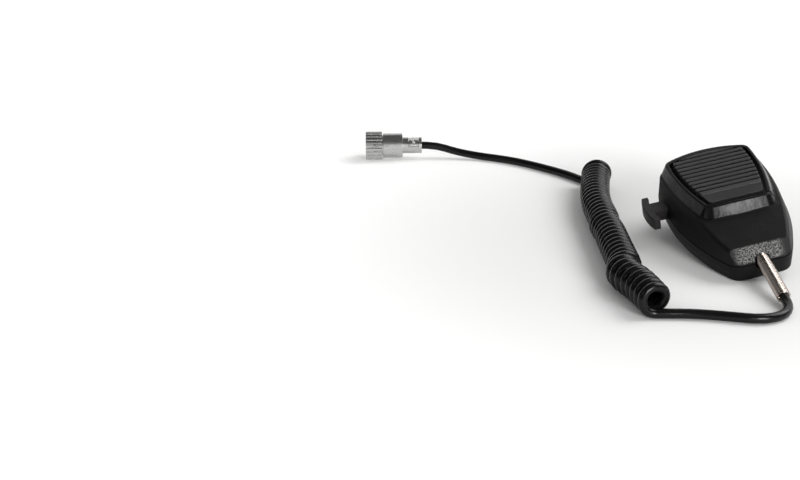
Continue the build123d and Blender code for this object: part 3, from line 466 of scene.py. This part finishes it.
def moulded(name, colour, roughness, grain_mm=0.4, depth_mm=0.02, edge_mm=0.25, specular=0.4, edge_wear_and_highlight=1.6,
            dusty=0.25):
    """Plastic or rubber: grain, handling, dust, and edges lightened for wear and, when strong, as a painted
    highlight.
    """
    mat, tree, shader = principled(name, roughness, specular=specular)
    texture = use(tree, grain, Grain_mm=grain_mm)
    marks = use(tree, handling)
    edges = use(tree, soft_edges, Radius_mm=edge_mm)
    body = blend_colours(tree, texture["Speck"], tint(colour, 1.0), tint(colour, SPECK_TINT))
    # Edges lightened: slightly for wear, strongly as a painted highlight.
    body = blend_colours(tree, times(tree, edges["Wear and Highlight"], EDGE_SHARE), body, tint(colour, edge_wear_and_highlight))
    body = blend_colours(tree, times(tree, marks["Dust"], dusty), body, DUST_COLOUR)
    tree.links.new(body, shader.inputs["Base Color"])
    handled(tree, shader, marks, roughness)
    pressed(tree, shader, edges, texture["Height"], depth_mm * MM)
    return mat


# %% [markdown]
# A metal shows only what it mirrors, tinted by its own colour, so its finish is made of its
# roughness, a faint tarnish and very shallow relief.

# %% Recipe: plated or bare metal
TARNISH_SHARE, TARNISH_TINT = 0.35, 0.72
METAL_DEPTH_MM, METAL_RELIEF = 0.004, 0.4


def plated(name, colour, roughness, relief_mm=0.25, edge_mm=0.15):
    """Metal with fine uneven relief, faint tarnish and soft edges."""
    mat, tree, shader = principled(name, roughness, metallic=1.0)
    marks = use(tree, handling, Patch_mm=6.0, Amount=0.16)
    edges = use(tree, soft_edges, Radius_mm=edge_mm)
    texture = use(tree, grain, Grain_mm=relief_mm)
    tarnish = times(tree, texture["Speck"], TARNISH_SHARE)
    body = blend_colours(tree, tarnish, tint(colour, 1.0), tint(colour, TARNISH_TINT))
    tree.links.new(body, shader.inputs["Base Color"])
    handled(tree, shader, marks, roughness)
    pressed(tree, shader, edges, texture["Height"], METAL_DEPTH_MM * MM, METAL_RELIEF)
    return mat


# %% [markdown]
# The case has three finishes on one moulding: fine grain on most of it, a bezel that is left
# smooth, and a bevel at the cord end with a coarse texture whose peaks get painted glints.
# They are placed in the microphone's own millimetres, which a mapping node gives by undoing its tilt.

# %% Effect: place on the microphone
def on_microphone(tree, scale_mm):
    """A place in the microphone's own frame, counted in this many millimetres along each axis."""
    return node(tree, "Mapping", {"vector_type": "TEXTURE"}, Vector=node(tree, "TexCoord").outputs["Object"],
                Location=MIC.translation, Rotation=MIC.to_euler(),
                Scale=[length * MM for length in scale_mm]).outputs[0]


mic_place, given, result = effect("mic_place", [],
                                  [("Across", "Float"), ("Along", "Float"), ("Out", "Float")])
parts = node(mic_place, "SeparateXYZ", Vector=on_microphone(mic_place, (1, 1, 1))).outputs
for label, axis in (("Across", "X"), ("Along", "Y"), ("Out", "Z")):
    mic_place.links.new(parts[axis], result[label])
print("effect:", mic_place.name)

# %% [markdown]
# Smooth plastic isn't quite even either: where it flowed into the mould it keeps faint streaks.
# Noise that is stretched in one direction draws them.

# %% Effect: mould streaks
STREAK_MM, STREAK_RISE = (2.2, 2.2, 12), (0.35, 0.68)
streaks, given, result = effect("streaks", [], [("Mask", "Float")])
drawn = node(streaks, "TexNoise", Vector=on_microphone(streaks, STREAK_MM), Scale=1.0, Detail=3.0,
             Roughness=0.6).outputs[0]
streaks.links.new(fade(streaks, drawn, *STREAK_RISE), result["Mask"])
print("effect:", streaks.name)

# %% [markdown]
# Masks say where each finish lies.  Each pair of numbers is where a mask starts to rise and
# where it is full, in the microphone's millimetres: along it from the cord end, and out from
# the seam between the two halves of the case.

# %% Case: masks
BEVEL_ALONG, BEVEL_OUT = (4.6, 3.4), (0.4, 1.1)
BEVEL_ACROSS, BEVEL_OFFSET = (14.5, 9.5), 1.0
BEZEL_OUT, BEZEL_ALONG, FRONT_ALONG = (12.9, 13.4), (26.0, 27.2), (34.0, 31.0)
SEAM_OUT, SEAM_OFFSET = (0.5, 0.25), 0.2


def near(tree, value, offset, passage):
    """A mask that depends only on how far the value, with its offset added, is from 0."""
    return fade(tree, calc(tree, "ABSOLUTE", calc(tree, "ADD", value, offset)), *passage)


def case_masks(tree):
    """Places across the microphone, and masks for the bevel, the bezel, its front and the seam."""
    place = use(tree, mic_place)
    across, lengthwise, out = place["Across"], place["Along"], place["Out"]
    on_bevel = times(tree, fade(tree, lengthwise, *BEVEL_ALONG), fade(tree, out, *BEVEL_OUT),
                     near(tree, across, BEVEL_OFFSET, BEVEL_ACROSS))
    on_bezel = times(tree, fade(tree, out, *BEZEL_OUT), fade(tree, lengthwise, *BEZEL_ALONG))
    on_front = times(tree, on_bezel, fade(tree, lengthwise, *FRONT_ALONG))
    return across, on_bevel, on_bezel, on_front, near(tree, out, SEAM_OFFSET, SEAM_OUT)


print("bezel's front lies from", BEZEL_ALONG[0], "to", FRONT_ALONG[0], "mm along")

# %% [markdown]
# The black of the case is built up in layers.  Specks are lighter and edges get a painted highlight,
# dust lies over them, the peaks of the coarse texture on the bevel get painted glints, and the seam
# gets painted shade, darkest of all.

# %% Case: colour
CASE_BLACK, CASE_SPECK_TINT = (0.0042, 0.0042, 0.0042), 2.2
# The edge colour is a painted highlight, the glint colour gives painted glints, the seam colour is painted shade.
CASE_EDGE_HIGHLIGHT_SHARE, CASE_EDGE_HIGHLIGHT_COLOUR, CASE_DUST_SHARE = 0.55, (0.085, 0.086, 0.09, 1), 0.2
PAINTED_GLINT_RISE, PAINTED_GLINT_COLOUR = (0.52, 0.78), (0.185, 0.185, 0.18, 1)
SEAM_SHADE_COLOUR = (0.0005, 0.0005, 0.0005, 1)


def case_colour(tree, texture, coarse, marks, edges, on_bevel, in_seam):
    body = blend_colours(tree, texture["Speck"], tint(CASE_BLACK, 1.0), tint(CASE_BLACK, CASE_SPECK_TINT))
    # Painted highlight along the case's edges.
    body = blend_colours(tree, times(tree, edges["Wear and Highlight"], CASE_EDGE_HIGHLIGHT_SHARE), body, CASE_EDGE_HIGHLIGHT_COLOUR)
    body = blend_colours(tree, times(tree, marks["Dust"], CASE_DUST_SHARE), body, DUST_COLOUR)
    # Painted glints on the peaks of the bevel's coarse texture.
    painted_glints = times(tree, fade(tree, coarse["Height"], *PAINTED_GLINT_RISE), on_bevel)
    body = blend_colours(tree, painted_glints, body, PAINTED_GLINT_COLOUR)
    # Painted shade in the seam between the two halves.
    return blend_colours(tree, in_seam, body, SEAM_SHADE_COLOUR)


# %% [markdown]
# Polish is a lower roughness.  The bezel is the smoothest place, a little less so in its
# streaks, the bevel comes next, and the seam is fully matt.

# %% Case: roughness
CASE_ROUGHNESS, BEZEL_POLISH, STREAK_DULLS, BEVEL_POLISH, SEAM_DULLS = 0.5, 0.32, 0.14, 0.12, 0.5


def case_roughness(tree, marks, drawn, on_bevel, on_bezel, in_seam):
    rough = calc(tree, "ADD", marks["Roughness Shift"], CASE_ROUGHNESS)
    polish = calc(tree, "SUBTRACT", BEZEL_POLISH, times(tree, drawn, STREAK_DULLS))
    rough = calc(tree, "SUBTRACT", rough, times(tree, on_bezel, polish))
    rough = calc(tree, "SUBTRACT", rough, times(tree, on_bevel, BEVEL_POLISH))
    return calc(tree, "ADD", rough, times(tree, in_seam, SEAM_DULLS), clamp=True)


# %% [markdown]
# The relief is added up in millimetres: fine grain everywhere but on the bezel, the coarse
# texture on the bevel, and on the bezel's front the streaks and a slight crown, which falls
# off with the square of the distance from the middle and bends what it mirrors.

# %% Case: relief, and the whole finish
FINE_DEPTH, COARSE_DEPTH, STREAK_DEPTH, CROWN_PER_MM2 = 0.05, 0.3, 0.022, -0.0035


def case_height(tree, across, texture, coarse, drawn, on_bevel, on_bezel, on_front):
    fine = times(tree, texture["Height"], calc(tree, "SUBTRACT", 1.0, on_bezel))
    height = calc(tree, "ADD", times(tree, fine, FINE_DEPTH),
                  times(tree, coarse["Height"], on_bevel, COARSE_DEPTH))
    height = calc(tree, "ADD", height, times(tree, drawn, on_front, STREAK_DEPTH))
    return calc(tree, "ADD", height, times(tree, across, across, CROWN_PER_MM2, on_front))


def case_finish():
    """Black plastic with a smooth bezel, painted glints on the bevel, painted shade in the seam and painted
    highlights on edges.
    """
    mat, tree, shader = principled("case", CASE_ROUGHNESS, specular=0.15)
    across, on_bevel, on_bezel, on_front, in_seam = case_masks(tree)
    texture = use(tree, grain, Grain_mm=0.42)
    coarse = use(tree, grain, Grain_mm=0.64)
    marks = use(tree, handling, Patch_mm=14.0, Amount=0.12)
    edges = use(tree, soft_edges, Radius_mm=0.45)
    drawn = use(tree, streaks)["Mask"]
    tree.links.new(case_colour(tree, texture, coarse, marks, edges, on_bevel, in_seam),
                   shader.inputs["Base Color"])
    tree.links.new(case_roughness(tree, marks, drawn, on_bevel, on_bezel, in_seam),
                   shader.inputs["Roughness"])
    height = case_height(tree, across, texture, coarse, drawn, on_bevel, on_bezel, on_front)
    pressed(tree, shader, edges, height, MM)
    return mat


# %% [markdown]
# Every node names a finish in the record.  One table turns those names into materials, with
# the colours that this object shows, and a loop hands them out.

# %% Finishes for every slot
finishes = {
    "case": case_finish(),
    # The grille's edges are lightened fourteen times: a painted highlight along the louvres and the land.
    "grille": moulded("grille", (0.012, 0.012, 0.012), 0.36, grain_mm=0.3, depth_mm=0.012, edge_mm=0.3,
                      specular=0.44, edge_wear_and_highlight=14.0),
    "felt": moulded("felt", (0.006, 0.006, 0.006), 0.95, grain_mm=0.15, depth_mm=0.2, specular=0.1),
    "button": moulded("button", (0.017, 0.015, 0.016), 0.5, grain_mm=0.35, depth_mm=0.02, specular=0.25),
    "bright_steel": plated("bright_steel", (0.75, 0.75, 0.74), 0.12),
    "spring": plated("spring", (0.48, 0.425, 0.385), 0.12),
    "screws": plated("screws", (0.5, 0.5, 0.5), 0.35),
    "foam": moulded("foam", (0.03, 0.03, 0.03), 0.9, grain_mm=0.5, depth_mm=0.15, specular=0.2),
    "capsule": plated("capsule", (0.6, 0.6, 0.61), 0.3),
    "board": moulded("board", (0.12, 0.2, 0.08), 0.35, grain_mm=0.6, depth_mm=0.01),
    "chips": moulded("chips", (0.02, 0.02, 0.02), 0.3, grain_mm=0.2, depth_mm=0.01),
    "plunger": moulded("plunger", (0.75, 0.74, 0.7), 0.3, edge_wear_and_highlight=1.0),
    "clamp": moulded("clamp", (0.03, 0.03, 0.03), 0.5),
    "cord": moulded("cord", (0.0035, 0.0032, 0.0032), 0.24, grain_mm=1.4, depth_mm=0.02, edge_mm=0.1,
                    specular=0.22, edge_wear_and_highlight=1.2, dusty=0.02),
    "red_lead": moulded("red_lead", (0.5, 0.03, 0.02), 0.35),
    "white_lead": moulded("white_lead", (0.75, 0.75, 0.72), 0.35, edge_wear_and_highlight=1.0),
    "blue_lead": moulded("blue_lead", (0.03, 0.08, 0.4), 0.35),
    "copper": plated("copper", (0.8, 0.45, 0.28), 0.3),
    "plug_metal": plated("plug_metal", (0.46, 0.46, 0.45), 0.28),
    "plug_insulator": moulded("plug_insulator", (0.1, 0.05, 0.03), 0.35),
    "contacts": plated("contacts", (0.85, 0.72, 0.4), 0.22),
}
slot_of = {s["node"]: s["material_slot"] for s in frame["record"]["subparts"]}
dressed = [(thing, slot_of[name]) for name, thing in nodes.items()]
dressed += [(cord, "cord"), (relief, "spring"), (louvres, "grille")]
for thing, slot in dressed:
    thing.data.materials.clear()
    thing.data.materials.append(finishes[slot])
print("finishes:", len(finishes), "on pieces:", len(dressed))

# %% [markdown]
# The set is one large pale table.  Near its middle it is a plain matt surface that keeps the
# object's shadow.  For rays that come from the camera, and for those that gloss reflects or
# glass lets through, light of its own is added, the more the further out it lies, so that it
# runs into white.  Other rays don't meet that light: the object mirrors it, but isn't lit by it.

# %% Floor
SPAN, FLOOR_COLOUR = 6.0, (0.72, 0.72, 0.715, 1)
NEAR_GLOW, NEAR_RISE, FAR_GLOW, FAR_RISE = 0.36, (0.07, 0.32), 0.5, (0.5, 1.8)


def seen_or_mirrored(tree, ray):
    """1 for rays that come from the camera, a gloss or a glass, and 0 for those that only light."""
    return calc(tree, "MAXIMUM", calc(tree, "MAXIMUM", ray["Is Camera Ray"], ray["Is Glossy Ray"]),
                ray["Is Transmission Ray"])


floor_mesh = bpy.data.meshes.new("floor")
floor_mesh.from_pydata([(-SPAN, -SPAN, 0), (SPAN, -SPAN, 0), (SPAN, SPAN, 0), (-SPAN, SPAN, 0)], [],
                       [(0, 1, 2, 3)])
floor = add_object("floor", floor_mesh)
sweep, tree, shader = principled("floor", 0.8, specular=0.1)
shader.inputs["Base Color"].default_value = FLOOR_COLOUR
where = node(tree, "TexCoord").outputs["Object"]
far_off = node(tree, "VectorMath", {"operation": "LENGTH"}, _0=where).outputs["Value"]
glow = calc(tree, "ADD", times(tree, fade(tree, far_off, *NEAR_RISE), NEAR_GLOW),
            times(tree, fade(tree, far_off, *FAR_RISE), FAR_GLOW))
lit = node(tree, "AddShader", _0=shader.outputs[0], _1=node(tree, "Emission", Strength=glow).outputs[0])
shown = node(tree, "MixShader", _0=seen_or_mirrored(tree, node(tree, "LightPath").outputs),
             _1=shader.outputs[0], _2=lit.outputs[0])
tree.links.new(shown.outputs[0], tree.nodes["Material Output"].inputs["Surface"])
floor_mesh.materials.append(sweep)
print("floor is", 2 * SPAN, "m wide")

# %% [markdown]
# The world answers three kinds of ray in three ways.  The camera sees it plain white.  Gloss
# and glass show a room that is white at the horizon and behind the object, where a backdrop
# would stand, and dim above and on the left, so that black plastic stays black.  All other
# rays get a soft even light from everywhere.

# %% World
WORLD_DIM, WORLD_SOFT, BACKDROP_TOP = 0.9, 0.5, 0.6
BACKDROP_RISE, HORIZON_RISE = (0.0, 0.5), (0.0, 0.2)
LEFT_LEVEL, LEFT_RISE = 0.15, (-0.75, 0.0)
WHITE = (1, 1, 1, 1)
world = bpy.data.worlds.new("studio")
bpy.context.scene.world = world
world.use_nodes = True
tree = world.node_tree
tree.nodes.clear()
way = node(tree, "SeparateXYZ", Vector=node(tree, "TexCoord").outputs["Generated"]).outputs
backdrop = times(tree, fade(tree, way["Y"], *BACKDROP_RISE), BACKDROP_TOP)
above_white = calc(tree, "SUBTRACT", way["Z"], backdrop)
dim = calc(tree, "SUBTRACT", 1.0, times(tree, fade(tree, above_white, *HORIZON_RISE), WORLD_DIM))
left_side = calc(tree, "ADD", LEFT_LEVEL, times(tree, fade(tree, way["X"], *LEFT_RISE), 1 - LEFT_LEVEL))
ray = node(tree, "LightPath").outputs
mirrored = calc(tree, "MAXIMUM", times(tree, dim, left_side), ray["Is Camera Ray"])
seen = node(tree, "Background", Color=WHITE, Strength=mirrored)
soft = node(tree, "Background", Color=WHITE, Strength=WORLD_SOFT)
mixed = node(tree, "MixShader", _0=seen_or_mirrored(tree, ray), _1=soft.outputs[0], _2=seen.outputs[0])
node(tree, "OutputWorld", Surface=mixed.outputs[0])
print("world:", world.name)

# %% [markdown]
# Three round lamps look at the world's origin, which lies close to the microphone.  A large
# one high on the right makes the soft shadow, one low in front is what the smooth bezel
# mirrors, and a weak one on the left lifts the side that would be lost.

# %% Lamps
LAMPS = (("above", (1.05, 0.2, 1.2), 1.3, 20), ("front", (0.3, -1.35, 0.45), 0.55, 16),
         ("left", (-1.3, -0.5, 0.9), 0.6, 1.0))
for name, place, size, power in LAMPS:
    lamp_data = bpy.data.lights.new(name, "AREA")
    lamp_data.shape, lamp_data.size, lamp_data.energy = "DISK", size, power
    lamp = add_object(name, lamp_data)
    lamp.location = place
    lamp.rotation_euler = (-Vector(place)).to_track_quat("-Z", "Y").to_euler()
print("lamps:", len(LAMPS))
